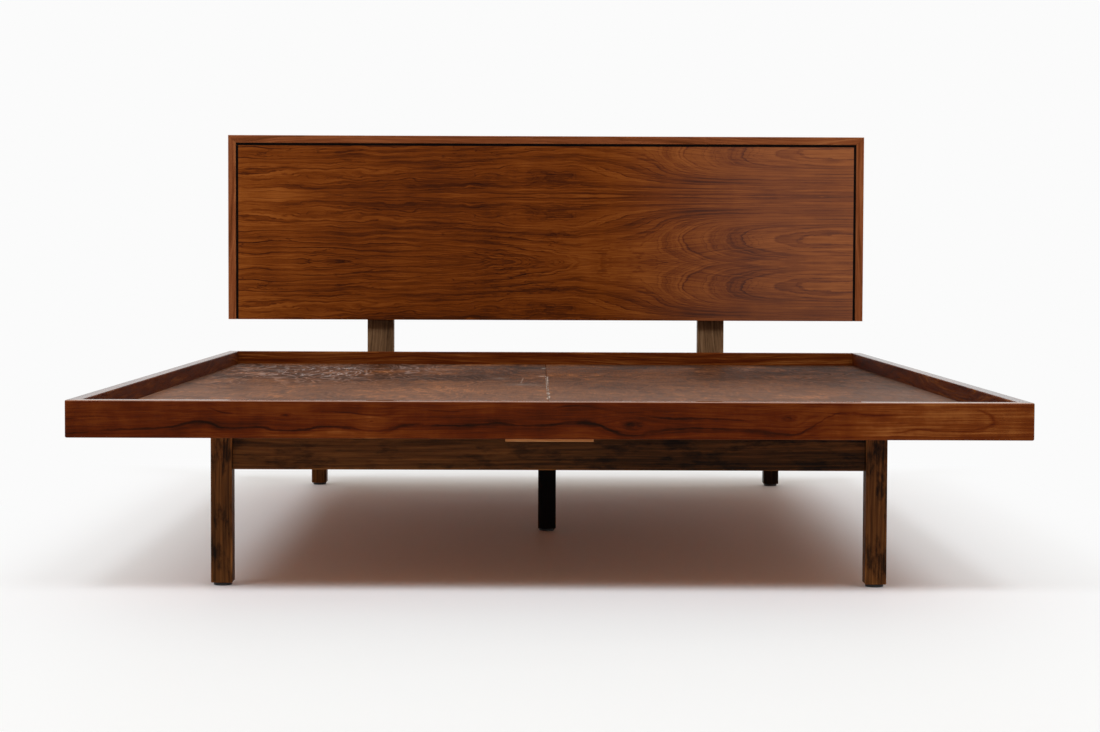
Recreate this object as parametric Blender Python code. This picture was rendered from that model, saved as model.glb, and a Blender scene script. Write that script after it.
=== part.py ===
"""Platform bed: a mitred tray with a loose two-panel deck, on a base of five legs, with a framed headboard.

Metres, +Z up. The foot end faces -Y, the headboard stands at +Y and the floor is at Z = 0.
"""
import math

import bmesh
import bpy

# Fits
FIT = 0.0003             # clearance between pieces that touch
DECK_GAP = 0.0020        # from a deck panel to the rails
DECK_SEAM = 0.0010       # between the two deck panels
BOLT_SLACK = 0.0010      # around a bolt head in its counterbore

# Tray
TRAY_W = 1.590
TRAY_L = 2.090
TRAY_Z = 0.272           # underside of the rails
RAIL_T = 0.025
RAIL_H = 0.062
RAIL_CORNER_R = 0.004
RAIL_EASE = 0.0025
TONGUE_T = 0.004         # loose tongue in each mitre
TONGUE_W = 0.012
TONGUE_H = 0.040
LEDGER = 0.019           # square section, and the thickness of the bearers
BEARER_W = 0.152
CROSS_W = 0.070
CROSS_COUNT = 3
CROSS_LAP = 0.020        # how far a cross bearer laps into the centre bearer
DECK_T = 0.012
DECK_EASE = 0.0008
CLEAT = 0.019

# Base
LEG = 0.037
LEG_EASE = 0.0015
LEG_FOOT_CHAMFER = 0.0012
BASE_INSET = 0.210       # from the tray's foot and sides to the legs
CENTRE_LEG_SHIFT = 0.0255  # from the middle of the tray towards the head
STRETCHER_T = 0.020
STRETCHER_H = 0.070
STRETCHER_EASE = 0.0010
BEAM_W = 0.038
TENON_T = 0.010
TENON_SHOULDER = 0.010   # above and below each tenon
TENON_WALL = 0.013       # left in a rear leg beyond the rear stretcher's tenon
TENON_WEB = 0.004        # left in a rear leg between its two tenons
BEAM_TENON_L = 0.012
BEAM_TENON_T = 0.020
CENTRE_TENON = 0.020     # square tenon on top of the centre leg
CENTRE_TENON_H = 0.040
GLIDE_R = 0.016
GLIDE_H = 0.005
GLIDE_EDGE = 0.0010
STEM_R = 0.003
STEM_H = 0.015

# Headboard
HEADBOARD_Z = 0.414      # underside of the headboard
HEADBOARD_H = 0.460
HEADBOARD_T = 0.019
FRAME_W = 0.019
FRAME_EASE = 0.0010
REVEAL_W = 0.0064        # shadow gap between the frame and the panel
REVEAL_D = 0.006
HB_TONGUE_T = 0.007
HB_TONGUE_IN = 0.006     # how far the panel's tongue enters the frame
POST_W = 0.066
POST_T = 0.032
POST_FROM_LEG = 0.1515   # from the middle of a rear leg to the middle of a post
POST_EASE = 0.0015
POST_DROP = 0.045        # from the headboard's top to the top of a post

# Post bolts
BOLT_R = 0.004
BOLT_HEAD_R = 0.0085
BOLT_HEAD_H = 0.003
BOLT_SUNK = 0.006        # depth of the counterbore
BOLT_PAST_NUT = 0.003
BOLT_EDGE = 0.018        # from the rear stretcher's lower and upper edge
SOCKET_FLATS = 0.005     # hexagon socket in a bolt head
SOCKET_D = 0.0019
NUT_FLATS = 0.013
NUT_H = 0.0065

# Screws through the posts into the headboard panel
SCREW_COUNT = 3
SCREW_EDGE = 0.055       # from the headboard's underside and from the top of a post
SCREW_R = 0.0022
SCREW_TIP_R = 0.0005
SCREW_POINT = 0.006      # length of the tapered point
SCREW_IN = 0.012         # how far a screw enters the panel
SCREW_HEAD_R = 0.0045
SCREW_HEAD_H = 0.0027
RECESS_L = 0.0046        # cross recess in a screw head
RECESS_W = 0.0011
RECESS_D = 0.0012

# Roundness
ARC_STEPS = 3
LEG_STEPS = 2
TURN_STEPS = 24
PAST = 0.010             # how far a cutter runs past a face

# Levels and lines that follow from the sizes above
OVERALL_L = TRAY_L + FIT + POST_T
FOOT_Y = -OVERALL_L / 2
HEAD_Y = FOOT_Y + TRAY_L
MID_Y = FOOT_Y + TRAY_L / 2
INNER_X = TRAY_W / 2 - RAIL_T
INNER_FOOT = FOOT_Y + RAIL_T
INNER_HEAD = HEAD_Y - RAIL_T
LEDGER_TOP = TRAY_Z + LEDGER
LAP_Z = TRAY_Z + LEDGER / 2
LEDGER_X = INNER_X - FIT - LEDGER
LEDGER_FOOT = INNER_FOOT + FIT + LEDGER
LEDGER_HEAD = INNER_HEAD - FIT - LEDGER
CROSS_STEP = (LEDGER_HEAD - LEDGER_FOOT) / (CROSS_COUNT + 1)
CROSS_YS = [LEDGER_FOOT + CROSS_STEP * (k + 1) for k in range(CROSS_COUNT)]
LEG_X = TRAY_W / 2 - BASE_INSET - LEG / 2
FRONT_LEG_Y = FOOT_Y + BASE_INSET + LEG / 2
REAR_LEG_Y = HEAD_Y - LEG / 2
CENTRE_LEG_Y = MID_Y + CENTRE_LEG_SHIFT
LEG_BOTTOM = GLIDE_H + FIT
BASE_TOP = TRAY_Z - FIT
STRETCHER_Z = BASE_TOP - STRETCHER_H
TENON_LOW = STRETCHER_Z + TENON_SHOULDER
TENON_HIGH = BASE_TOP - TENON_SHOULDER
REAR_TENON_L = LEG - TENON_WALL
SIDE_TENON_L = LEG - STRETCHER_T / 2 - TENON_T / 2 - TENON_WEB
STRETCHER_X = LEG_X - LEG / 2 - FIT
FRONT_STRETCHER_BACK = FRONT_LEG_Y + STRETCHER_T / 2
REAR_STRETCHER_FRONT = HEAD_Y - STRETCHER_T
HEADBOARD_TOP = HEADBOARD_Z + HEADBOARD_H
HEADBOARD_FRONT = HEAD_Y - HEADBOARD_T
POST_X = LEG_X - POST_FROM_LEG
POST_FRONT = HEAD_Y + FIT
POST_BACK = POST_FRONT + POST_T
POST_TOP = HEADBOARD_TOP - POST_DROP
BOLT_ZS = (STRETCHER_Z + BOLT_EDGE, BASE_TOP - BOLT_EDGE)
SCREW_STEP = (POST_TOP - HEADBOARD_Z - 2 * SCREW_EDGE) / (SCREW_COUNT - 1)
SCREW_ZS = [HEADBOARD_Z + SCREW_EDGE + SCREW_STEP * k for k in range(SCREW_COUNT)]
SCREW_TIP = HEAD_Y - SCREW_IN
SCREW_TOP = POST_BACK - FIT
SCREW_NECK = SCREW_TOP - SCREW_HEAD_H


def clear_scene():
    for ob in list(bpy.data.objects):
        bpy.data.objects.remove(ob, do_unlink=True)


def make_material(name, colour, roughness, metallic=0.0):
    material = bpy.data.materials.new(name)
    material.use_nodes = True
    shader = material.node_tree.nodes["Principled BSDF"]
    shader.inputs["Base Color"].default_value = (*colour, 1.0)
    shader.inputs["Roughness"].default_value = roughness
    shader.inputs["Metallic"].default_value = metallic
    return material


def prism(outline, axis, low, high):
    """A closed body with the outline in the plane across the axis, from low to high along it."""
    place = {
        "X": lambda a, b, along: (along, a, b),
        "Y": lambda a, b, along: (a, along, b),
        "Z": lambda a, b, along: (a, b, along),
    }[axis]
    bm = bmesh.new()
    starts = [bm.verts.new(place(a, b, low)) for a, b in outline]
    ends = [bm.verts.new(place(a, b, high)) for a, b in outline]
    close_rings(bm, [starts, ends])
    return bm


def close_rings(bm, rings):
    """Faces between each ring and the next, and across the first and the last."""
    bm.faces.new(rings[0])
    bm.faces.new(rings[-1])
    for lower, upper in zip(rings, rings[1:]):
        for k in range(len(lower)):
            following = (k + 1) % len(lower)
            bm.faces.new((lower[k], lower[following], upper[following], upper[k]))


def box(low, high):
    (x0, y0, z0), (x1, y1, z1) = low, high
    return prism([(x0, y0), (x1, y0), (x1, y1), (x0, y1)], "Z", z0, z1)


def rounded_square(x, y, half, radius):
    outline = []
    for corner in range(4):
        turn = math.pi * (2 * corner + 1) / 4
        reach = (half - radius) * math.sqrt(2)
        for k in range(LEG_STEPS + 1):
            angle = turn + math.pi * (k / LEG_STEPS - 0.5) / 2
            a = reach * math.cos(turn) + radius * math.cos(angle)
            b = reach * math.sin(turn) + radius * math.sin(angle)
            outline.append((x + a, y + b))
    return outline


def stacked(levels):
    """A closed body through outlines with the same number of points, each at its own height."""
    bm = bmesh.new()
    rings = [[bm.verts.new((a, b, height)) for a, b in outline] for height, outline in levels]
    close_rings(bm, rings)
    return bm


def turned(profile, axis, centre):
    """A body turned about an axis through the centre; the profile lists (distance along, radius)."""
    bm = bmesh.new()
    rings = []
    for along, radius in profile:
        ring = []
        for k in range(TURN_STEPS):
            angle = 2 * math.pi * k / TURN_STEPS
            a, b = radius * math.cos(angle), radius * math.sin(angle)
            x, y = centre[0], centre[1]
            if axis == "Z":
                ring.append(bm.verts.new((x + a, y + b, along)))
            else:
                ring.append(bm.verts.new((x + a, along, y + b)))
        rings.append(ring)
    close_rings(bm, rings)
    return bm


def edges_along(bm, axis):
    index = "XYZ".index(axis)
    others = [k for k in range(3) if k != index]
    found = []
    for edge in bm.edges:
        step = edge.verts[1].co - edge.verts[0].co
        if all(abs(step[k]) < 1e-7 for k in others):
            found.append(edge)
    return found


def edges_at_height(bm, height):
    return [edge for edge in bm.edges if all(abs(vert.co.z - height) < 1e-7 for vert in edge.verts)]


def ease(bm, edges, width, segments=2):
    bmesh.ops.recalc_face_normals(bm, faces=bm.faces)
    bmesh.ops.bevel(
        bm, geom=edges, offset=width, offset_type="OFFSET", segments=segments,
        profile=0.5, affect="EDGES", clamp_overlap=True)
    return bm


def add(name, bm, material=None):
    bmesh.ops.recalc_face_normals(bm, faces=bm.faces)
    mesh = bpy.data.meshes.new(name)
    bm.to_mesh(mesh)
    bm.free()
    if material:
        mesh.materials.append(material)
    ob = bpy.data.objects.new(name, mesh)
    bpy.context.scene.collection.objects.link(ob)
    return ob


def combine(ob, operation, bodies):
    """Cut the bodies from the object, or join them to it, and leave one plain mesh."""
    tools = [add("tool", bm) for bm in bodies]
    for tool in tools:
        modifier = ob.modifiers.new("combine", "BOOLEAN")
        modifier.operation = operation
        modifier.solver = "EXACT"
        modifier.object = tool
    bpy.context.view_layer.update()
    graph = bpy.context.evaluated_depsgraph_get()
    mesh = bpy.data.meshes.new_from_object(ob.evaluated_get(graph))
    ob.modifiers.clear()
    ob.data = mesh
    mesh.name = ob.name
    for tool in tools:
        bpy.data.objects.remove(tool, do_unlink=True)
    return ob


def corner_tongue(side, end_y, end_sign, grow):
    """The loose tongue across one mitre: side is the sign of X, end_sign points out of the tray."""
    middle_x = side * (TRAY_W / 2 - RAIL_T / 2)
    middle_y = end_y - end_sign * RAIL_T / 2
    half_t = (TONGUE_T / 2 + grow) / math.sqrt(2)
    half_w = (TONGUE_W / 2 + grow) / math.sqrt(2)
    outline = []
    for t, w in ((-1, -1), (1, -1), (1, 1), (-1, 1)):
        x = middle_x + side * (t * half_t + w * half_w)
        y = middle_y + end_sign * (t * half_t - w * half_w)
        outline.append((x, y))
    low = TRAY_Z + (RAIL_H - TONGUE_H) / 2
    return prism(outline, "Z", low - grow, low + TONGUE_H + grow)


def mitred_rail(name, length, turn, outer_x, outer_y, corners, material):
    """One tray rail, drawn along X with its outer face at Y = 0, then turned to its side of the tray."""
    half = length / 2
    relief = FIT / math.sqrt(2)
    start = math.radians(225) + math.asin(relief / (math.sqrt(2) * RAIL_CORNER_R))
    angles = [start + (math.radians(270) - start) * k / ARC_STEPS for k in range(ARC_STEPS + 1)]
    left = []
    for angle in angles:
        x = -half + RAIL_CORNER_R * (1 + math.cos(angle))
        left.append((x, RAIL_CORNER_R * (1 + math.sin(angle))))
    right = [(-x, y) for x, y in reversed(left)]
    inner = [(half - RAIL_T - relief, RAIL_T), (-half + RAIL_T + relief, RAIL_T)]
    bm = prism(left + right + inner, "Z", TRAY_Z, TRAY_Z + RAIL_H)
    outer_reach = RAIL_CORNER_R + 1e-6
    eased = []
    for height in (TRAY_Z, TRAY_Z + RAIL_H):
        for edge in edges_at_height(bm, height):
            ys = [vert.co.y for vert in edge.verts]
            if max(ys) < outer_reach or min(ys) > RAIL_T - 1e-6:
                eased.append(edge)
    ease(bm, eased, RAIL_EASE, segments=ARC_STEPS)
    c, s = round(math.cos(turn)), round(math.sin(turn))
    for vert in bm.verts:
        x, y = vert.co.x, vert.co.y
        vert.co.x = outer_x + c * x - s * y
        vert.co.y = outer_y + s * x + c * y
    slots = [corner_tongue(side, end_y, end_sign, FIT) for side, end_y, end_sign in corners]
    return combine(add(name, bm, material), "DIFFERENCE", slots)


def make_tray(rail, inside, deck):
    foot_left = (-1, FOOT_Y, -1)
    foot_right = (1, FOOT_Y, -1)
    head_left = (-1, HEAD_Y, 1)
    head_right = (1, HEAD_Y, 1)
    quarter = math.pi / 2
    mitred_rail("foot_rail", TRAY_W, 0, 0, FOOT_Y, (foot_left, foot_right), rail)
    mitred_rail("right_side_rail", TRAY_L, quarter, TRAY_W / 2, MID_Y, (foot_right, head_right), rail)
    mitred_rail("head_rail", TRAY_W, 2 * quarter, 0, HEAD_Y, (head_left, head_right), rail)
    mitred_rail("left_side_rail", TRAY_L, -quarter, -TRAY_W / 2, MID_Y, (foot_left, head_left), rail)
    places = ("foot_left", "foot_right", "head_left", "head_right")
    for place, corner in zip(places, (foot_left, foot_right, head_left, head_right)):
        add("mitre_tongue_" + place, corner_tongue(*corner, 0), inside)
    make_ledgers(inside)
    make_bearers(inside)
    for name, side in (("left", -1), ("right", 1)):
        xs = sorted((side * DECK_SEAM / 2, side * (INNER_X - DECK_GAP)))
        low = LEDGER_TOP + FIT
        panel = box((xs[0], INNER_FOOT + DECK_GAP, low), (xs[1], INNER_HEAD - DECK_GAP, low + DECK_T))
        ease(panel, edges_at_height(panel, low + DECK_T), DECK_EASE, 1)
        add("deck_panel_" + name, panel, deck)
    cleat_back = FRONT_LEG_Y - STRETCHER_T / 2 - FIT
    low = (-BEARER_W / 2, cleat_back - CLEAT, BASE_TOP - CLEAT)
    cleat = box(low, (BEARER_W / 2, cleat_back, BASE_TOP))
    add("front_cleat", ease(cleat, edges_along(cleat, "X"), STRETCHER_EASE, 1), inside)


def notched_top(start, end, middles, width):
    """Outline of a ledger seen from its side, with a lap notch in its top at each middle."""
    outline = [(start, TRAY_Z), (end, TRAY_Z), (end, LEDGER_TOP)]
    floor = LAP_Z - FIT / 2
    for middle in sorted(middles, reverse=True):
        near, far = middle + width / 2 + FIT, middle - width / 2 - FIT
        outline += [(near, LEDGER_TOP), (near, floor), (far, floor), (far, LEDGER_TOP)]
    outline.append((start, LEDGER_TOP))
    return outline


def lapped_ends(start, end, start_tip, end_tip):
    """Outline of a bearer seen from its side, with the upper half of each end running on to its tip."""
    under = LAP_Z + FIT / 2
    return [
        (start, TRAY_Z), (end, TRAY_Z), (end, under), (end_tip, under),
        (end_tip, LEDGER_TOP), (start_tip, LEDGER_TOP), (start_tip, under), (start, under)]


def make_ledgers(material):
    side_outline = notched_top(INNER_FOOT + FIT, INNER_HEAD - FIT, CROSS_YS, CROSS_W)
    for name, side in (("left", -1), ("right", 1)):
        xs = sorted((side * LEDGER_X, side * (LEDGER_X + LEDGER)))
        add(name + "_ledger", prism(side_outline, "X", *xs), material)
    reach = LEDGER_X - FIT
    end_outline = notched_top(-reach, reach, [0], BEARER_W)
    add("foot_ledger", prism(end_outline, "Y", LEDGER_FOOT - LEDGER, LEDGER_FOOT), material)
    add("head_ledger", prism(end_outline, "Y", LEDGER_HEAD, LEDGER_HEAD + LEDGER), material)


def make_bearers(material):
    outline = lapped_ends(LEDGER_FOOT + FIT, LEDGER_HEAD - FIT, INNER_FOOT + FIT, INNER_HEAD - FIT)
    centre = prism(outline, "X", -BEARER_W / 2, BEARER_W / 2)
    notches = []
    lap_x = BEARER_W / 2 - CROSS_LAP
    for side in (-1, 1):
        xs = sorted((side * (lap_x - FIT), side * (BEARER_W / 2 + PAST)))
        for y in CROSS_YS:
            reach = CROSS_W / 2 + FIT
            notches.append(box((xs[0], y - reach, LAP_Z - FIT / 2), (xs[1], y + reach, LEDGER_TOP + PAST)))
    combine(add("centre_bearer", centre, material), "DIFFERENCE", notches)
    outline = lapped_ends(BEARER_W / 2 + FIT, LEDGER_X - FIT, lap_x, INNER_X - FIT)
    for name, side in (("left", -1), ("right", 1)):
        mirrored = [(side * x, z) for x, z in outline]
        for k, y in enumerate(CROSS_YS):
            bm = prism(mirrored, "Y", y - CROSS_W / 2, y + CROSS_W / 2)
            add("cross_bearer_{}_{}".format(name, k + 1), bm, material)


def leg_body(x, y, top):
    full = rounded_square(x, y, LEG / 2, LEG_EASE)
    foot = rounded_square(x, y, LEG / 2 - LEG_FOOT_CHAMFER, LEG_EASE / 2)
    return stacked([(LEG_BOTTOM, foot), (LEG_BOTTOM + LEG_FOOT_CHAMFER, full), (top, full)])


def stem_hole(x, y):
    profile = [(LEG_BOTTOM - PAST, STEM_R + FIT), (GLIDE_H + STEM_H + FIT, STEM_R + FIT)]
    return turned(profile, "Z", (x, y))


def glide(x, y):
    profile = [
        (0, GLIDE_R - GLIDE_EDGE), (GLIDE_EDGE, GLIDE_R), (GLIDE_H - GLIDE_EDGE, GLIDE_R),
        (GLIDE_H, GLIDE_R - GLIDE_EDGE), (GLIDE_H, STEM_R), (GLIDE_H + STEM_H, STEM_R)]
    return turned(profile, "Z", (x, y))


def make_legs(wood, pad):
    low, high = TENON_LOW - FIT, TENON_HIGH + FIT
    near = TENON_T / 2 + FIT
    far = LEG / 2 + PAST
    rear_mortise_y = HEAD_Y - STRETCHER_T / 2
    for name, side in (("left", -1), ("right", 1)):
        x = side * LEG_X
        inward = -side
        corner = [(-near, -near), (far, -near), (far, near), (near, near), (near, far), (-near, far)]
        plan = [(x + inward * a, FRONT_LEG_Y + b) for a, b in corner]
        mortise = prism(plan, "Z", low, high)
        leg = add("front_{}_leg".format(name), leg_body(x, FRONT_LEG_Y, BASE_TOP), wood)
        combine(leg, "DIFFERENCE", [mortise, stem_hole(x, FRONT_LEG_Y)])
        add("front_{}_glide".format(name), glide(x, FRONT_LEG_Y), pad)
        xs = sorted((x + inward * (LEG / 2 - REAR_TENON_L - FIT), x + inward * far))
        end_mortise = box((xs[0], rear_mortise_y - near, low), (xs[1], rear_mortise_y + near, high))
        front_face = REAR_LEG_Y - LEG / 2
        deep = front_face + SIDE_TENON_L + FIT
        side_mortise = box((x - near, front_face - PAST, low), (x + near, deep, high))
        leg = add("rear_{}_leg".format(name), leg_body(x, REAR_LEG_Y, BASE_TOP), wood)
        combine(leg, "DIFFERENCE", [end_mortise, side_mortise, stem_hole(x, REAR_LEG_Y)])
        add("rear_{}_glide".format(name), glide(x, REAR_LEG_Y), pad)
    top = STRETCHER_Z - FIT
    leg = add("centre_leg", leg_body(0, CENTRE_LEG_Y, top), wood)
    half = CENTRE_TENON / 2
    tenon = box((-half, CENTRE_LEG_Y - half, top - PAST), (half, CENTRE_LEG_Y + half, top + CENTRE_TENON_H))
    combine(leg, "UNION", [tenon])
    combine(leg, "DIFFERENCE", [stem_hole(0, CENTRE_LEG_Y)])
    add("centre_glide", glide(0, CENTRE_LEG_Y), pad)


def stretcher_body(low, high):
    bm = box((*low, STRETCHER_Z), (*high, BASE_TOP))
    long_axis = "X" if high[0] - low[0] > high[1] - low[1] else "Y"
    return ease(bm, edges_along(bm, long_axis), STRETCHER_EASE)


def mitred_tenon(side, along_x):
    """Tenon into a front leg; the front stretcher's and the side stretcher's meet there in a mitre."""
    half = TENON_T / 2
    relief = FIT / math.sqrt(2)
    root = LEG / 2 + FIT + PAST
    plan = [(root, -half), (root, half), (half + relief, half), (-half + relief, -half)]
    if not along_x:
        plan = [(b, a) for a, b in plan]
    plan = [(side * (LEG_X - a), FRONT_LEG_Y + b) for a, b in plan]
    return prism(plan, "Z", TENON_LOW, TENON_HIGH)


def beam_mortise(face_y, inward):
    half = BEAM_TENON_T / 2 + FIT
    ys = sorted((face_y + inward * (BEAM_TENON_L + FIT), face_y - inward * PAST))
    return box((-half, ys[0], TENON_LOW - FIT), (half, ys[1], TENON_HIGH + FIT))


def bolt_hole(x, z):
    profile = [(REAR_STRETCHER_FRONT - PAST, BOLT_R + FIT), (POST_BACK + PAST, BOLT_R + FIT)]
    return turned(profile, "Y", (x, z))


def screw_hole(x, z):
    hole, sink = SCREW_R + FIT, SCREW_HEAD_R + FIT
    profile = [(SCREW_TIP - FIT, hole), (SCREW_NECK, hole), (SCREW_TOP, sink), (POST_BACK + PAST, sink)]
    return turned(profile, "Y", (x, z))


def make_stretchers(wood):
    half_t = STRETCHER_T / 2
    front = stretcher_body((-STRETCHER_X, FRONT_LEG_Y - half_t), (STRETCHER_X, FRONT_LEG_Y + half_t))
    ob = add("front_stretcher", front, wood)
    combine(ob, "UNION", [mitred_tenon(-1, True), mitred_tenon(1, True)])
    combine(ob, "DIFFERENCE", [beam_mortise(FRONT_STRETCHER_BACK, -1)])

    rear_y = HEAD_Y - half_t
    rear = stretcher_body((-STRETCHER_X, REAR_STRETCHER_FRONT), (STRETCHER_X, HEAD_Y))
    ob = add("rear_stretcher", rear, wood)
    tip = LEG_X - LEG / 2 + REAR_TENON_L
    half = TENON_T / 2
    tenons = []
    for side in (-1, 1):
        xs = sorted((side * (STRETCHER_X - PAST), side * tip))
        tenons.append(box((xs[0], rear_y - half, TENON_LOW), (xs[1], rear_y + half, TENON_HIGH)))
    combine(ob, "UNION", tenons)
    holes = [beam_mortise(REAR_STRETCHER_FRONT, 1)]
    holes += [bolt_hole(side * POST_X, z) for side in (-1, 1) for z in BOLT_ZS]
    combine(ob, "DIFFERENCE", holes)

    start = FRONT_LEG_Y + LEG / 2 + FIT
    end = REAR_LEG_Y - LEG / 2 - FIT
    for name, side in (("left", -1), ("right", 1)):
        x = side * LEG_X
        ob = add(name + "_stretcher", stretcher_body((x - half_t, start), (x + half_t, end)), wood)
        tip = end + FIT + SIDE_TENON_L
        rear_tenon = box((x - half, end - PAST, TENON_LOW), (x + half, tip, TENON_HIGH))
        combine(ob, "UNION", [mitred_tenon(side, False), rear_tenon])

    start = FRONT_STRETCHER_BACK + FIT
    end = REAR_STRETCHER_FRONT - FIT
    ob = add("centre_beam", stretcher_body((-BEAM_W / 2, start), (BEAM_W / 2, end)), wood)
    half = BEAM_TENON_T / 2
    stub = BEAM_TENON_L - FIT
    front_stub = box((-half, start - stub, TENON_LOW), (half, start + PAST, TENON_HIGH))
    rear_stub = box((-half, end - PAST, TENON_LOW), (half, end + stub, TENON_HIGH))
    combine(ob, "UNION", [front_stub, rear_stub])
    half = CENTRE_TENON / 2 + FIT
    deep = STRETCHER_Z + CENTRE_TENON_H
    socket = box((-half, CENTRE_LEG_Y - half, STRETCHER_Z - PAST), (half, CENTRE_LEG_Y + half, deep))
    combine(ob, "DIFFERENCE", [socket])


def frame_profile():
    """Section of a frame strip: inward from its outer face, and back from its front face."""
    groove_front = REVEAL_D - FIT
    groove_back = REVEAL_D + HB_TONGUE_T + FIT
    groove_in = FRAME_W - HB_TONGUE_IN - FIT
    e = FRAME_EASE
    return [
        (e, 0), (FRAME_W - e, 0), (FRAME_W, e), (FRAME_W, groove_front), (groove_in, groove_front),
        (groove_in, groove_back), (FRAME_W, groove_back), (FRAME_W, HEADBOARD_T), (e, HEADBOARD_T),
        (0, HEADBOARD_T - e), (0, e)]


def make_headboard(veneer, frame, post_wood):
    half = TRAY_W / 2
    relief = FIT / math.sqrt(2)
    for name, side in (("left", -1), ("right", 1)):
        bm = bmesh.new()
        starts, ends = [], []
        for inward, back in frame_profile():
            x, y = side * (half - inward), HEADBOARD_FRONT + back
            starts.append(bm.verts.new((x, y, HEADBOARD_Z)))
            ends.append(bm.verts.new((x, y, HEADBOARD_TOP - inward - relief)))
        close_rings(bm, [starts, ends])
        add("headboard_frame_" + name, bm, frame)
    bm = bmesh.new()
    starts, ends = [], []
    for inward, back in frame_profile():
        y, z = HEADBOARD_FRONT + back, HEADBOARD_TOP - inward
        starts.append(bm.verts.new((-half + inward + relief, y, z)))
        ends.append(bm.verts.new((half - inward - relief, y, z)))
    close_rings(bm, [starts, ends])
    add("headboard_frame_top", bm, frame)

    face_x = half - FRAME_W - REVEAL_W
    face_top = HEADBOARD_TOP - FRAME_W - REVEAL_W
    tongue = FRAME_W - HB_TONGUE_IN
    panel = add("headboard_panel", box(
        (-face_x, HEADBOARD_FRONT, HEADBOARD_Z), (face_x, HEAD_Y, face_top)), veneer)
    tongue_front = HEADBOARD_FRONT + REVEAL_D
    tongue_back = tongue_front + HB_TONGUE_T
    rim = FRAME_W + FIT
    combine(panel, "UNION", [
        box((tongue - half, tongue_front, HEADBOARD_Z), (half - tongue, tongue_back, HEADBOARD_TOP - tongue)),
        box((rim - half, tongue_back - FIT, HEADBOARD_Z), (half - rim, HEAD_Y, HEADBOARD_TOP - rim))])

    for name, side in (("left", -1), ("right", 1)):
        x = side * POST_X
        bm = box((x - POST_W / 2, POST_FRONT, STRETCHER_Z), (x + POST_W / 2, POST_BACK, POST_TOP))
        post = add("headboard_post_" + name, ease(bm, edges_along(bm, "Z"), POST_EASE), post_wood)
        holes = []
        radius = BOLT_HEAD_R + BOLT_SLACK
        for z in BOLT_ZS:
            holes.append(bolt_hole(x, z))
            holes.append(turned([(POST_BACK - BOLT_SUNK, radius), (POST_BACK + PAST, radius)], "Y", (x, z)))
        for z in SCREW_ZS:
            holes.append(screw_hole(x, z))
        combine(post, "DIFFERENCE", holes)
        combine(panel, "DIFFERENCE", [screw_hole(x, z) for z in SCREW_ZS])


def make_screws(steel):
    low, high = SCREW_TOP - RECESS_D, SCREW_TOP + PAST
    long, thin = RECESS_L / 2, RECESS_W / 2
    profile = [
        (SCREW_TIP, SCREW_TIP_R), (SCREW_TIP + SCREW_POINT, SCREW_R),
        (SCREW_NECK, SCREW_R), (SCREW_TOP, SCREW_HEAD_R)]
    for name, side in (("left", -1), ("right", 1)):
        x = side * POST_X
        for k, z in enumerate(SCREW_ZS):
            screw = add("panel_screw_{}_{}".format(name, k + 1), turned(profile, "Y", (x, z)), steel)
            combine(screw, "DIFFERENCE", [
                box((x - long, low, z - thin), (x + long, high, z + thin)),
                box((x - thin, low, z - long), (x + thin, high, z + long))])


def hexagon(x, z, flats):
    radius = flats / math.sqrt(3)
    corners = []
    for k in range(6):
        angle = math.pi * k / 3
        corners.append((x + radius * math.cos(angle), z + radius * math.sin(angle)))
    return corners


def make_bolts(steel):
    head = POST_BACK - BOLT_SUNK + FIT
    nut_back = REAR_STRETCHER_FRONT - FIT
    nut_front = nut_back - NUT_H
    end = nut_front - BOLT_PAST_NUT
    for name, side in (("left", -1), ("right", 1)):
        for level, z in zip(("lower", "upper"), BOLT_ZS):
            x = side * POST_X
            profile = [(end, BOLT_R), (head, BOLT_R), (head, BOLT_HEAD_R), (head + BOLT_HEAD_H, BOLT_HEAD_R)]
            bolt = add("post_bolt_{}_{}".format(name, level), turned(profile, "Y", (x, z)), steel)
            head_top = head + BOLT_HEAD_H
            combine(bolt, "DIFFERENCE", [
                prism(hexagon(x, z, SOCKET_FLATS), "Y", head_top - SOCKET_D, head_top + PAST)])
            nut = add("post_nut_{}_{}".format(name, level), prism(
                hexagon(x, z, NUT_FLATS), "Y", nut_front, nut_back), steel)
            bore = [(nut_front - PAST, BOLT_R + FIT), (nut_back + PAST, BOLT_R + FIT)]
            combine(nut, "DIFFERENCE", [turned(bore, "Y", (x, z))])


def main():
    clear_scene()
    rail = make_material("walnut_rail", (0.095, 0.026, 0.010), 0.38)
    veneer = make_material("walnut_veneer", (0.120, 0.034, 0.014), 0.45)
    frame = make_material("walnut_frame", (0.150, 0.046, 0.018), 0.42)
    deck = make_material("deck_veneer", (0.120, 0.055, 0.032), 0.40)
    inside = make_material("raw_timber", (0.240, 0.110, 0.050), 0.70)
    stained = make_material("espresso_stain", (0.042, 0.017, 0.008), 0.50)
    post = make_material("stained_post", (0.072, 0.040, 0.022), 0.55)
    pad = make_material("black_nylon", (0.012, 0.010, 0.009), 0.60)
    steel = make_material("zinc_steel", (0.480, 0.480, 0.470), 0.35, 1.0)
    make_tray(rail, inside, deck)
    make_legs(stained, pad)
    make_stretchers(stained)
    make_headboard(veneer, frame, post)
    make_bolts(steel)
    make_screws(steel)


main()
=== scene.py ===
"""Platform bed: procedural materials, a pale studio and the photograph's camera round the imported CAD."""

import math

import bmesh
import bpy
from mathutils import Matrix, Vector


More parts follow.
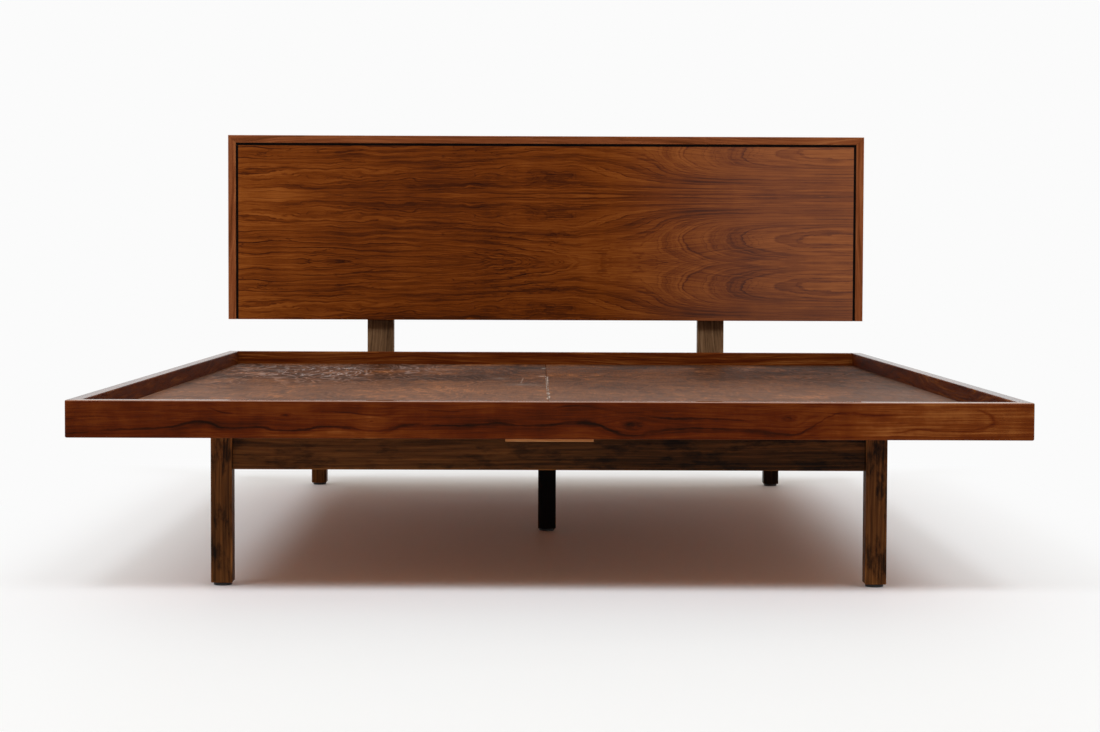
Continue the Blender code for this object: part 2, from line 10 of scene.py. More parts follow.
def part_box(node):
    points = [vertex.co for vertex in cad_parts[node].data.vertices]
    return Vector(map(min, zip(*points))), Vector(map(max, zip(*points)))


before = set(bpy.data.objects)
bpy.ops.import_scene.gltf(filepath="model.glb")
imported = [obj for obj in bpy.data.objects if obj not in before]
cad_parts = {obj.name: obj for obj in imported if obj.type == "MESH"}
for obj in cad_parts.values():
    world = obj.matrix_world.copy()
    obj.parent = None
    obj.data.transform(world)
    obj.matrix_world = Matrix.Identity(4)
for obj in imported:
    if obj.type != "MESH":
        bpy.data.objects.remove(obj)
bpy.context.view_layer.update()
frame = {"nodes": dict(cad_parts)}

# Camera, as fitted to the photograph (metres, radians)
CAMERA_AT = (-0.02276, -4.94039, 0.56657)
CAMERA_YAW = -0.005704
CAMERA_PITCH = 0.044911
CAMERA_ROLL = 0.003625
CAMERA_REACH = 200.0
FOCAL_PIXELS = 2373.1
PHOTO_WIDTH = 1100
SENSOR = 36.0

# Studio: light from the room behind the camera and from the wall behind the bed. WALL_SPAN is the y of a
# direction where the wall's own light starts and where it is full.
WHITE = (1.0, 1.0, 1.0, 1.0)
AMBIENT_FRONT = 0.24
AMBIENT_BACK = 0.52
WALL_LIGHT = 0.36
WALL_SPAN = (0.35, 0.95)
ROOM_COLOUR = (1.0, 0.76, 0.56, 1.0)
WALL_COLOUR = (1.0, 0.90, 0.80, 1.0)
BACKDROP = 0.965

# Lamps: name, direction towards the lamp, strength, angle in degrees
LAMP_COLOUR = (0.86, 0.94, 1.0)
LAMPS = (
    ("left_lamp", (-0.879, -0.713, 1.0), 1.10, 16.0),
    ("right_lamp", (0.551, -0.713, 1.0), 1.08, 24.0),
    ("front_lamp", (0.0, -0.713, 1.0), 0.80, 12.0),
)

# Floor: it fades into the backdrop between two distances from the middle, behind the bed and beside it;
# behind and beside the bed the glow starts under the bed and paints light over part of its shadow
FLOOR_RADIUS = 40.0
FLOOR_SIDES = 96
FLOOR_SINK = 0.0002
FLOOR_FADE = (2.6, 6.5)
FLOOR_GLOW_BEHIND = (0.92, 1.60)
FLOOR_GLOW_ASIDE = (0.45, 1.25)
FLOOR_COLOUR = (0.945, 0.95, 0.955, 1.0)
FLOOR_ROUGHNESS = 0.55
FLOOR_MOTTLE = 0.15
FLOOR_SPECULAR = 0.15

# Headboard veneer: leaves that mirror each other, each LEAF high. Along x, CROWN_AXIS is the height in a
# leaf of the crown figure's middle and CROWN_SQUARE the square of how blunt it is. Towards a leaf's upper
# edge the grain runs flat. Then come the broad tone along x, partly painted light that makes both ends
# lighter, and the height about which the right part is painted lighter towards the top, as light from above
# falls.
SEAM_Z = 0.5597
LEAF = 0.1658
CROWN_AXIS = (
    (-0.800, -0.030), (-0.060, -0.030), (0.044, -0.020), (0.103, -0.004), (0.175, 0.013), (0.247, 0.033),
    (0.291, 0.045), (0.328, 0.051), (0.384, 0.056), (0.450, 0.058), (0.800, 0.058),
)
CROWN_SQUARE = (
    (-0.800, 0.0001), (-0.600, 0.0002), (-0.400, 0.0004), (-0.200, 0.0013), (-0.119, 0.0026),
    (-0.062, 0.0041), (0.044, 0.0072), (0.103, 0.0090), (0.175, 0.0098), (0.247, 0.0100),
    (0.291, 0.0090), (0.328, 0.0075), (0.366, 0.0058), (0.416, 0.0041), (0.447, 0.0032),
    (0.509, 0.0023), (0.572, 0.0017), (0.666, 0.0011), (0.800, 0.0010),
)
FLAT_SPAN = (0.085, 0.158)
FLAT_AXIS = 0.020
FLAT_SQUARE = 0.0062
PANEL_TONE_AND_LIGHT = (
    (-0.80, 0.17), (-0.66, 0.08), (-0.52, -0.04), (-0.36, -0.09), (-0.21, -0.13), (-0.06, -0.08),
    (0.16, 0.00), (0.40, 0.00), (0.60, 0.07), (0.80, 0.10),
)
PANEL_LIGHT_MIDDLE_Z = 0.644
PANEL_PALEST = 0.76
PANEL_FOOT = (0.4142, 0.4152)

# Foot rail: the dark streak's path (x, height), the height that the bands keep at the right end, the knots
# (x, height, size), and the tip (x, height) and lower arm of the tongue of figure at the right end
STREAK_PATH = (
    (-0.800, 0.2785), (-0.730, 0.2842), (-0.668, 0.2868), (-0.620, 0.2912), (-0.590, 0.2968),
    (-0.570, 0.2990), (-0.547, 0.2938), (-0.520, 0.2892), (-0.474, 0.2906), (-0.448, 0.2862),
    (-0.400, 0.2876), (-0.370, 0.2920), (-0.328, 0.2906), (-0.285, 0.2862), (-0.255, 0.2906),
    (-0.225, 0.2952), (-0.182, 0.2938), (-0.109, 0.2968), (-0.079, 0.2982), (-0.042, 0.2944),
    (0.000, 0.2958), (0.036, 0.3003), (0.073, 0.2972), (0.091, 0.2924), (0.109, 0.2885),
    (0.134, 0.2846), (0.160, 0.2885), (0.195, 0.2900), (0.243, 0.2912), (0.340, 0.2876),
    (0.389, 0.2840), (0.420, 0.2920), (0.444, 0.3030), (0.462, 0.3120), (0.486, 0.3168),
    (0.517, 0.3138), (0.547, 0.3124), (0.800, 0.3250),
)
STREAK_LEVEL = 0.300
FOOT_KNOTS = (
    (-0.434, 0.3098, 0.0060), (-0.291, 0.2995, 0.0050), (0.135, 0.2955, 0.0150), (0.394, 0.3080, 0.0090),
)
TONGUE_TIP = (0.728, 0.3050)
TONGUE_LOWER = (
    (0.480, 0.2790), (0.565, 0.2840), (0.610, 0.2890), (0.657, 0.2868), (0.690, 0.2885), (0.715, 0.2935),
    (0.760, 0.3000),
)
FOOT_POLISH = 0.07

# Deck: a scratch (its two ends), scuffs and chips (x, y, half width, half depth), the corner where glints are
# painted on the ripple crests (x, half width, and y where it starts and where it is full), the stretch of the
# seam that is worn, a worn spot further back (y, half depth), and the span along y over which painted shade
# darkens the rear while the dust and painted sheen at the front thin out
DECK_SCRATCH = ((-0.052, 0.320), (-0.056, 0.100))
DECK_SCUFFS = (
    (-0.105, 0.300, 0.014, 0.030), (-0.062, 0.040, 0.030, 0.034), (-0.020, 0.000, 0.018, 0.030),
)
DECK_CHIPS = ((-0.0100, 0.400, 0.0075, 0.016), (-0.0060, 0.787, 0.0045, 0.016))
DECK_GLINT_CORNER = (-0.50, 0.25, -0.25, 0.60)
SEAM_WORN_REAR = (0.50, 0.38)
SEAM_WORN_FRONT = (-0.62, -0.45)
SEAM_SPOT = (0.81, 0.05)
DECK_REAR = (-0.95, 0.80)
RIPPLE_SPACING = 0.15
RIPPLE_WIDTH = 0.13
PLIES = 5

# Timber: the band of noise that shows as pores, and the seeds of the unfinished pieces
PORE_SPAN = (0.60, 0.72)
RAW_SEED = 1.1
RAW_SEED_STEP = 1.7

# Colours from dark to light, linear: (tone, colour)
PANEL_STOPS = (
    (0.00, (0.0231, 0.0049, 0.0010)), (0.28, (0.0730, 0.0139, 0.0016)), (0.52, (0.1537, 0.0317, 0.0027)),
    (0.76, (0.2449, 0.0625, 0.0077)), (1.00, (0.3938, 0.1296, 0.0270)),
)
RAIL_STOPS = (
    (0.00, (0.0096, 0.0021, 0.0004)), (0.28, (0.0326, 0.0049, 0.0006)), (0.52, (0.0692, 0.0096, 0.0008)),
    (0.78, (0.1230, 0.0250, 0.0029)), (1.00, (0.2258, 0.0692, 0.0145)),
)
STRIP_STOPS = (
    (0.00, (0.0480, 0.0125, 0.0035)), (0.30, (0.1296, 0.0326, 0.0077)), (0.55, (0.2162, 0.0576, 0.0173)),
    (1.00, (0.3843, 0.1344, 0.0433)),
)
DECK_STOPS = (
    (0.00, (0.0150, 0.0052, 0.0022)), (0.28, (0.0537, 0.0172, 0.0062)), (0.52, (0.1075, 0.0355, 0.0118)),
    (0.78, (0.1827, 0.0624, 0.0193)), (1.00, (0.3440, 0.1204, 0.0344)),
)
STAIN_STOPS = (
    (0.00, (0.0065, 0.0032, 0.0017)), (0.28, (0.0387, 0.0145, 0.0039)), (0.52, (0.0924, 0.0333, 0.0084)),
    (0.78, (0.1612, 0.0602, 0.0150)), (1.00, (0.2687, 0.1129, 0.0323)),
)
# painted shade: near-black colours for the rear right leg and the centre leg, standing for the shade under
# the bed
PAINTED_SHADE_DARK_STOPS = (
    (0.00, (0.0020, 0.0010, 0.0006)), (0.55, (0.0150, 0.0060, 0.0024)), (1.00, (0.0500, 0.0210, 0.0080)),
)
PAINTED_SHADE_BLACK_STOPS = (
    (0.00, (0.0008, 0.0004, 0.0003)), (0.55, (0.0030, 0.0010, 0.0007)), (1.00, (0.0120, 0.0050, 0.0028)),
)
POST_STOPS = (
    (0.00, (0.0250, 0.0134, 0.0067)), (0.30, (0.0864, 0.0441, 0.0203)), (0.55, (0.1537, 0.0806, 0.0384)),
    (1.00, (0.2882, 0.1681, 0.0884)),
)
RAW_STOPS = (
    (0.00, (0.340, 0.085, 0.016)), (0.40, (0.560, 0.150, 0.028)), (0.70, (0.660, 0.190, 0.040)),
    (1.00, (0.760, 0.290, 0.080)),
)
CLEAT_STOPS = (
    (0.00, (0.2042, 0.0699, 0.0193)), (0.45, (0.3850, 0.1400, 0.0420)), (1.00, (0.5500, 0.2650, 0.1030)),
)
NYLON_STOPS = ((0.1, (0.006, 0.0055, 0.005)), (0.9, (0.022, 0.021, 0.020)))
ZINC_STOPS = ((0.2, (0.34, 0.345, 0.35)), (0.8, (0.60, 0.60, 0.585)))

# Other colours, linear
# pale colour of the painted highlight along the foot rail's top front arris
ARRIS_HIGHLIGHT_COLOUR = (0.40, 0.23, 0.165, 1.0)
# painted shade for the groove of the headboard's shadow gap
GROOVE_SHADE_COLOUR = (0.0045, 0.0018, 0.0010, 1.0)
# pale colour of chips and scratches on the deck, also used for its painted glints
CHIP_AND_GLINT_COLOUR = (0.66, 0.56, 0.48, 1.0)
# grey-beige of the dust and painted sheen on the deck's front
DUST_AND_SHEEN_COLOUR = (0.330, 0.220, 0.175, 1.0)
# grey of the painted sheen on the headboard's right part
PAINTED_SHEEN_COLOUR = (0.026, 0.025, 0.025, 1.0)

# Places that the materials need, each band as where it starts and where it is full
HEADBOARD_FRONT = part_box("headboard_panel")[0][1]
# depth band of the shadow gap's groove, which gets painted shade
GROOVE_SHADE_BAND = (HEADBOARD_FRONT + 0.0025, HEADBOARD_FRONT + 0.0040)
BACKING_BAND = (HEADBOARD_FRONT + 0.010, HEADBOARD_FRONT + 0.011)
FOOT_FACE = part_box("foot_rail")[0][1]
RAIL_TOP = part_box("foot_rail")[1][2]
POLISHED_BAND = (RAIL_TOP - 0.0015, RAIL_TOP - 0.0004)
# the top face's band, which gets a painted highlight on the foot rail
TOP_HIGHLIGHT_BAND = (RAIL_TOP - 0.0008, RAIL_TOP - 0.0003)
ARRIS_Z_BAND = (RAIL_TOP - 0.0018, RAIL_TOP - 0.0009)
ARRIS_Y_BAND = (FOOT_FACE + 0.0045, FOOT_FACE + 0.0030)
DECK_UNDER, DECK_TOP = (corner[2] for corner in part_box("deck_panel_left"))
PLY_BAND = (DECK_TOP - 0.0010, DECK_TOP - 0.0016)
PLY = (DECK_TOP - DECK_UNDER) / PLIES


class Wire:
    """One number inside a material, with plain arithmetic."""

    def __init__(self, graph, socket):
        self.graph = graph
        self.socket = socket

    def __add__(self, other):
        return self.graph.math("ADD", self, other)

    __radd__ = __add__

    def __sub__(self, other):
        return self.graph.math("SUBTRACT", self, other)

    def __rsub__(self, other):
        return self.graph.math("SUBTRACT", other, self)

    def __mul__(self, other):
        return self.graph.math("MULTIPLY", self, other)

    __rmul__ = __mul__

    def __truediv__(self, other):
        return self.graph.math("DIVIDE", self, other)

    def __abs__(self):
        return self.graph.math("ABSOLUTE", self)


class Graph:
    """A material's node tree, with a short call for each kind of node."""

    def __init__(self, name):
        self.material = bpy.data.materials.new(name)
        self.material.use_nodes = True
        self.nodes = self.material.node_tree.nodes
        self.links = self.material.node_tree.links
        self.nodes.clear()

    def put(self, socket, value):
        if isinstance(value, Wire):
            value = value.socket
        if isinstance(value, bpy.types.NodeSocket):
            self.links.new(value, socket)
        else:
            socket.default_value = value

    def add(self, kind, values, out=0, **settings):
        node = self.nodes.new(kind)
        for key, value in settings.items():
            setattr(node, key, value)
        for key, value in values.items():
            self.put(node.inputs[key], value)
        return Wire(self, node.outputs[out])

    def math(self, operation, *values):
        return self.add("ShaderNodeMath", dict(enumerate(values)), operation=operation)

    def low(self, a, b):
        return self.math("MINIMUM", a, b)

    def high(self, a, b):
        return self.math("MAXIMUM", a, b)

    def bell(self, distance, width):
        """1 where distance is 0, falling to 0 over about the width."""
        scaled = distance * (1.0 / width)
        return self.math("EXPONENT", scaled * scaled * -1.0)

    def step(self, value, start, end):
        """0 at start, 1 at end, smooth between."""
        values = {"Value": value, "From Min": start, "From Max": end}
        return self.add("ShaderNodeMapRange", values, interpolation_type="SMOOTHSTEP")

    def position(self):
        """The three coordinates in the part's own frame, in metres."""
        place = self.add("ShaderNodeTexCoord", {}, out="Object")
        split = self.nodes.new("ShaderNodeSeparateXYZ")
        self.put(split.inputs[0], place)
        return [Wire(self, split.outputs[i]) for i in range(3)]

    def vector(self, x, y, z):
        return self.add("ShaderNodeCombineXYZ", {0: x, 1: y, 2: z})

    def noise(self, x, y, z, detail=2.0, rough=0.5, twist=0.0):
        values = {"Vector": self.vector(x, y, z), "Scale": 1.0, "Detail": detail, "Roughness": rough,
                  "Distortion": twist}
        return self.add("ShaderNodeTexNoise", values, out="Fac")

    def curve(self, value, points):
        """A smooth curve through (input, output) points."""
        ins = [p[0] for p in points]
        outs = [p[1] for p in points]
        in_span = max(ins) - min(ins)
        out_span = max(outs) - min(outs)
        node = self.nodes.new("ShaderNodeFloatCurve")
        track = node.mapping.curves[0]
        while len(track.points) < len(points):
            track.points.new(0.5, 0.5)
        for spot, (a, b) in zip(track.points, points):
            spot.location = ((a - min(ins)) / in_span, (b - min(outs)) / out_span)
        node.mapping.update()
        self.put(node.inputs["Value"], (value - min(ins)) * (1.0 / in_span))
        return Wire(self, node.outputs[0]) * out_span + min(outs)

    def ramp(self, value, stops):
        node = self.nodes.new("ShaderNodeValToRGB")
        track = node.color_ramp.elements
        while len(track) < len(stops):
            track.new(0.5)
        for spot, (at, colour) in zip(track, stops):
            spot.position = at
            spot.color = (*colour, 1.0)
        self.put(node.inputs[0], value)
        return node.outputs[0]

    def mix(self, factor, a, b, blend="MIX"):
        node = self.nodes.new("ShaderNodeMix")
        node.data_type = "RGBA"
        node.blend_type = blend
        for i, value in ((0, factor), (6, a), (7, b)):
            self.put(node.inputs[i], value)
        return node.outputs[2]

    def finish(self, colour, roughness, height=None, relief=0.0, specular=0.5, metallic=0.0):
        """The Principled shader and the output."""
        shader = self.nodes.new("ShaderNodeBsdfPrincipled")
        output = self.nodes.new("ShaderNodeOutputMaterial")
        self.put(shader.inputs["Base Color"], colour)
        self.put(shader.inputs["Roughness"], roughness)
        shader.inputs["Specular IOR Level"].default_value = specular
        shader.inputs["Metallic"].default_value = metallic
        if height is not None:
            values = {"Height": height, "Distance": relief, "Strength": 1.0}
            self.put(shader.inputs["Normal"], self.add("ShaderNodeBump", values, out="Normal"))
        self.links.new(shader.outputs[0], output.inputs[0])
        return self.material


# In the materials below, a factor on a coordinate inside noise() is a frequency per metre, small lengths are
# metres, and the other factors weigh a pattern on the tone (0 dark, 1 light), the roughness or the relief.


def edge_distance(g, place, node):
    """Distance to the nearest edge of a node's box, on its faces."""
    low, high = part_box(node)
    gaps = []
    for value, a, b in zip(place, low, high):
        gaps.append(g.low(value - a, b - value))
    first = g.low(gaps[0], gaps[1])
    second = g.high(gaps[0], gaps[1])
    return g.high(first, g.low(second, gaps[2]))


def grain_order(place, along):
    """Coordinates along the grain, across it and through the piece."""
    x, y, z = place
    return {"X": (x, z, y), "Y": (y, z, x), "Z": (z, x, y)}[along]


def round_knots(g, u, a, knots):
    """The across coordinate with the grain led round the knots, and how dark each knot makes the wood."""
    led = a
    dark = None
    rag = g.noise(u * 60.0, a * 210.0, 0.0, detail=3.0, rough=0.6)
    for at_u, at_a, size in knots:
        du = (u - at_u) * 0.42
        da = a - at_a
        square = du * du + da * da
        led = led - da * (0.78 * size * size) / (square + (0.75 * size) ** 2)
        core = g.math("EXPONENT", square * (-1.0 / (0.36 * size) ** 2)) * g.step(rag, 0.34, 0.60)
        dark = core if dark is None else dark + core
    return led, dark


def lines(g, r, spacing, width):
    """1 on lines a spacing apart, 0 between them."""
    phase = g.math("PINGPONG", r * (1.0 / spacing), 0.5)
    return g.bell(phase, width)


def wood(name, node, along, stops, seed, pith=(0.05, -0.09), ring=0.009, contrast=1.0, blotch=0.0, wear=0.3,
         rough=0.42, specular=0.06, fleck=0.5, relief=0.00025, tone=0.0, slope=0.0, wave=1.0, stripe=1.0,
         polish=None):
    """Solid timber: growth rings round a wandering pith, fibre streaks, pores, blotches and rubbed edges.

    pith is the rings' middle, from the piece's own middle, and ring their spacing. polish is the roughness
    of a rail's top face. The others weigh what they name.
    """
    g = Graph(name)
    place = g.position()
    low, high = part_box(node)
    middle = [(p + q) / 2 for p, q in zip(low, high)]
    centred = [p - m for p, m in zip(place, middle)]
    u, a, t = grain_order(centred, along)
    drift_a = g.noise(u * 1.7 + seed, seed, 0.0, detail=1.0) - 0.5
    drift_t = g.noise(u * 1.3 + seed, seed + 7.0, 3.0, detail=1.0) - 0.5
    off_a = a - pith[0] + drift_a * (0.05 * wave)
    off_t = t - pith[1] + drift_t * (0.07 * wave)
    r = g.math("SQRT", off_a * off_a + off_t * off_t)
    ripple = g.noise(u * 6.0 + seed, a * 26.0, t * 26.0 + seed, detail=3.0) - 0.5
    r = r + ripple * (0.010 * wave)
    band = g.noise(r * (0.7 / ring) + seed, u * 0.4, seed, detail=4.0, rough=0.65)
    late = lines(g, r, ring, 0.17)
    fibre = g.noise(u * 7.0 + seed, r * 420.0, (a - t) * 90.0, detail=3.0, rough=0.62)
    pores = g.noise(u * 42.0, a * 900.0 + seed, t * 900.0, detail=1.0)
    pore = g.step(pores, *PORE_SPAN)
    cloud = g.noise(u * 3.0 + seed, a * 9.0, t * 9.0, detail=3.0)
    value = 0.53 + tone + (fibre - 0.5) * (1.15 * contrast) + (band - 0.5) * (contrast * stripe)
    value = value - late * (0.10 * contrast) + (cloud - 0.5) * 0.5 - pore * (0.18 * fleck)
    if slope:
        value = value + u * slope
    if blotch:
        patch = g.noise(u * 15.0, a * 44.0 + seed, t * 44.0, detail=5.0, rough=0.66)
        value = value - g.step(patch, 0.48, 0.66) * blotch
    rub = g.noise(u * 20.0, a * 80.0, t * 80.0 + seed, detail=3.0)
    edge = edge_distance(g, place, node)
    rubbed = g.step(edge + (rub - 0.5) * 0.006, 0.0030, 0.0002)
    value = value + rubbed * wear
    colour = g.ramp(value, stops)
    gloss = rough + (fibre - 0.5) * 0.16 + pore * 0.12 - rubbed * 0.06
    if polish is not None:
        gloss = gloss + (polish + fibre * 0.05 - gloss) * g.step(place[2], *POLISHED_BAND)
    height = fibre * 0.6 - pore * 0.8 + late * 0.25
    return g.finish(colour, gloss, height, relief, specular=specular)


def foot_rail_wood():
    """The walnut foot rail: a long dark streak, the knots that it runs round and a tongue of figure."""
    g = Graph("walnut_foot_rail")
    place = g.position()
    x, y, z = place
    path = g.curve(x, STREAK_PATH)
    across = z + (y - FOOT_FACE) * 0.35
    led, knot = round_knots(g, x, across, FOOT_KNOTS)
    fine = g.noise(x * 16.0, z * 70.0, y * 70.0, detail=3.0) - 0.5
    sway = g.noise(x * 5.5 + 2.2, z * 12.0, y * 12.0, detail=2.0) - 0.5
    r = led + fine * 0.0050 + sway * 0.0040
    off = r - path
    level = r - path - (STREAK_LEVEL - path) * (g.step(x, 0.36, 0.50) * 0.85)
    rag = g.noise(x * 70.0, z * 170.0, y * 170.0, detail=4.0, rough=0.65) - 0.5
    strength = g.noise(x * 9.0 + 5.0, off * 60.0, 0.0, detail=4.0, rough=0.6)
    swell = g.step(g.noise(x * 10.0 + 3.0, 0.0, 1.0, detail=2.0), 0.40, 0.62)
    bold = 0.50 + g.step(x, -0.70, -0.60) * 0.50 - g.step(x, 0.20, 0.44) * 0.42
    bold = bold * g.step(x, 0.585, 0.535)
    ratio = (off + rag * 0.0042) / (0.0011 + swell * 0.0019)
    streak = g.math("EXPONENT", ratio * ratio * -1.0)
    streak = streak * (0.30 + g.step(strength, 0.36, 0.60) * 0.70) * bold
    shade = g.bell(off + 0.003, 0.007) * g.step(strength, 0.25, 0.65) * bold
    upper = g.bell(off - 0.0235, 0.0014) * g.step(strength, 0.46, 0.62) * g.step(x, 0.40, 0.20)
    second = g.bell(off + rag * 0.0040 - 0.0145, 0.0014)
    second = second * g.step(x, 0.14, 0.19) * g.step(x, 0.35, 0.30)
    tip_x, tip_z = TONGUE_TIP
    rise = across - tip_z
    front = x - tip_x + rise * rise * 85.0 + fine * 0.020 + rag * 0.012
    tip = g.bell(front, 0.0050) * g.step(abs(rise), 0.024, 0.004)
    arm = g.bell(r + rag * 0.0040 - g.curve(x, TONGUE_LOWER), 0.0015)
    arm = arm * g.step(x, 0.54, 0.60) * g.step(x, 0.73, 0.71)
    tongue = g.high(tip, arm * 0.8) * (0.35 + g.step(strength, 0.36, 0.58) * 0.65)
    band = g.noise(level * 150.0, x * 0.6, 4.0, detail=4.0, rough=0.65)
    fibre = g.noise(x * 8.0, r * 460.0, y * 200.0, detail=3.0, rough=0.62)
    pores = g.noise(x * 46.0, z * 950.0, y * 950.0, detail=1.0)
    pore = g.step(pores, *PORE_SPAN)
    cloud = g.noise(x * 4.0 + 1.0, level * 30.0, y * 8.0, detail=3.0)
    warm = g.step(x, 0.12, 0.70)
    curl = g.noise(x * 26.0, z * 16.0, y * 16.0, detail=3.0, rough=0.6) - 0.5
    value = 0.55 + (fibre - 0.5) * 0.62 + (cloud - 0.5) * 0.85 + (band - 0.5) * 0.52
    value = value - pore * 0.08 + warm * 0.25 + curl * 0.40
    value = value - streak * 0.52 - shade * 0.14 - upper * 0.30 - second * 0.34 - tongue * 0.32
    value = value - g.low(knot, 1.0) * 0.55
    rub = g.noise(x * 20.0, z * 80.0, y * 80.0, detail=3.0)
    rubbed = g.step(edge_distance(g, place, "foot_rail") + (rub - 0.5) * 0.004, 0.0022, 0.0002)
    # painted highlight: the rail's top face made lighter, as the light from above falls on it
    top = g.step(z, *TOP_HIGHLIGHT_BAND)
    value = value + rubbed * 0.10 + top * 0.30
    colour = g.ramp(value, RAIL_STOPS)
    # painted highlight: a pale line along the top front arris, standing for the light that the edge catches
    arris_highlight = g.step(z, *ARRIS_Z_BAND) * g.step(y, *ARRIS_Y_BAND)
    colour = g.mix(arris_highlight * (0.55 + rub * 0.6), colour, ARRIS_HIGHLIGHT_COLOUR)
    gloss = 0.44 + (fibre - 0.5) * 0.16 + pore * 0.12
    gloss = gloss + (FOOT_POLISH + fibre * 0.05 - gloss) * g.step(z, *POLISHED_BAND)
    height = fibre * 0.5 - pore * 0.8 - streak * 0.5
    return g.finish(colour, gloss, height, 0.0002, specular=0.04)


def panel_veneer():
    """The headboard: crown-cut walnut in mirrored leaves, plain veneer behind and the groove of the shadow
    gap painted near black as shade.
    """
    g = Graph("walnut_headboard_veneer")
    x, y, z = g.position()
    v = g.math("PINGPONG", (z - SEAM_Z) * (1.0 / LEAF), 1.0) * LEAF
    bend = g.noise(x * 3.2 + 4.0, v * 9.0, 1.0, detail=2.0) - 0.5
    along = x + bend * 0.045
    flat = g.step(v, *FLAT_SPAN)
    axis = g.curve(along, CROWN_AXIS)
    axis = axis + (FLAT_AXIS - axis) * flat
    square = g.curve(along, CROWN_SQUARE)
    square = square + (FLAT_SQUARE - square) * flat
    off = v - axis
    r = g.math("SQRT", off * off + square)
    broad = g.noise(x * 4.5, v * 13.0, 2.0, detail=2.0) - 0.5
    small = g.noise(x * 22.0, v * 75.0, 5.0, detail=3.0, rough=0.6) - 0.5
    medium = g.noise(x * 10.0, v * 24.0, 13.0, detail=2.0) - 0.5
    left = g.step(x, 0.30, -0.12)
    wave = (broad * 0.014 + medium * 0.016 + small * 0.004) * left
    r = r + broad * (0.015 - flat * 0.012) + small * 0.0052 + medium * left * 0.016
    behind = g.step(y, *BACKING_BAND)
    r = r + (z + broad * 0.02 - r) * behind
    right = g.step(x, 0.05, 0.45)
    band = g.noise(r * 62.0 + 3.0, x * 0.7, 0.0, detail=4.0, rough=0.60)
    ring = g.math("FRACT", r * 74.0 + band * 1.9)
    ring = ring * ring * ring * g.step(ring, 1.0, 0.90)
    fade = g.noise(x * 4.0, z * 13.0, 8.0, detail=3.0)
    fibre = g.noise(x * 6.5, (v + wave) * 330.0 + r * 170.0, 0.0, detail=5.0, rough=0.68)
    growth = g.step(g.noise(x * 3.2, r * 300.0, 6.0, detail=3.0, rough=0.6), 0.52, 0.68)
    hair = g.step(g.noise(x * 4.6 + 7.0, r * 620.0, 9.0, detail=2.0, rough=0.5), 0.56, 0.70)
    pores = g.noise(x * 36.0, v * 760.0, 3.0, detail=2.0)
    pore = g.step(pores, 0.56, 0.74)
    cloud = g.noise(x * 2.6, v * 9.0, 11.0, detail=4.0, rough=0.58)
    curl = g.noise(x * 15.0, z * 7.0, 21.0, detail=3.0) - 0.5
    strokes = g.noise(x * 5.2 + 1.3, v * 46.0, 4.0, detail=4.0, rough=0.58, twist=0.45)
    patch = g.step(g.noise(x * 5.5, z * 15.0, 17.0, detail=2.0), 0.44, 0.57)
    left_low = g.step(x, 0.20, -0.04) * g.step(v, 0.150, 0.040)
    wisp = g.bell(strokes - 0.5, 0.011) * patch * left_low
    # painted light: the broad tone lightens both ends of the panel, and the right part is lighter towards the
    # top, as light from above falls there
    tone = g.curve(x, PANEL_TONE_AND_LIGHT) + (z - PANEL_LIGHT_MIDDLE_Z) * right * 0.22
    calm = g.step(x, -0.34, -0.08)
    value = 0.622 + (fibre - 0.5) * (1.02 + calm * 0.16) + (cloud - 0.5) * (0.90 - calm * 0.28)
    value = value - pore * 0.10 - growth * 0.23 + tone
    value = value + (band - 0.5) * (0.78 - calm * 0.12) - wisp * 0.30 + curl * 0.20 - hair * 0.19
    value = value - ring * g.step(fade, 0.28, 0.55) * (0.32 - right * 0.04)
    value = value - g.high(value - PANEL_PALEST, 0.0) * 0.6
    colour = g.ramp(value, PANEL_STOPS)
    # painted sheen: grey added over the right part of the panel, standing for the lamps' reflection there
    pale = g.mix(1.0, colour, PAINTED_SHEEN_COLOUR, blend="ADD")
    colour = g.mix(g.step(x, 0.12, 0.62) * 0.9, colour, pale)
    # painted shade: deeper than the front's band and above the panel's foot, the groove of the shadow gap is
    # coloured near black, as the shade in it
    deep = g.step(y, *GROOVE_SHADE_BAND) * (1.0 - behind)
    colour = g.mix(deep * g.step(z, *PANEL_FOOT), colour, GROOVE_SHADE_COLOUR)
    gloss = 0.40 + (fibre - 0.5) * 0.14 + pore * 0.10 + behind * 0.12
    height = fibre * 0.6 - pore * 0.8
    return g.finish(colour, gloss, height, 0.0002, specular=0.05)


def off_line(g, x, y, start, end):
    """Distance from a straight scratch on the deck."""
    step_x, step_y = end[0] - start[0], end[1] - start[1]
    square = step_x * step_x + step_y * step_y
    along = ((x - start[0]) * step_x + (y - start[1]) * step_y) * (1.0 / square)
    along = g.high(g.low(along, 1.0), 0.0)
    off_x = x - start[0] - along * step_x
    off_y = y - start[1] - along * step_y
    return g.math("SQRT", off_x * off_x + off_y * off_y)


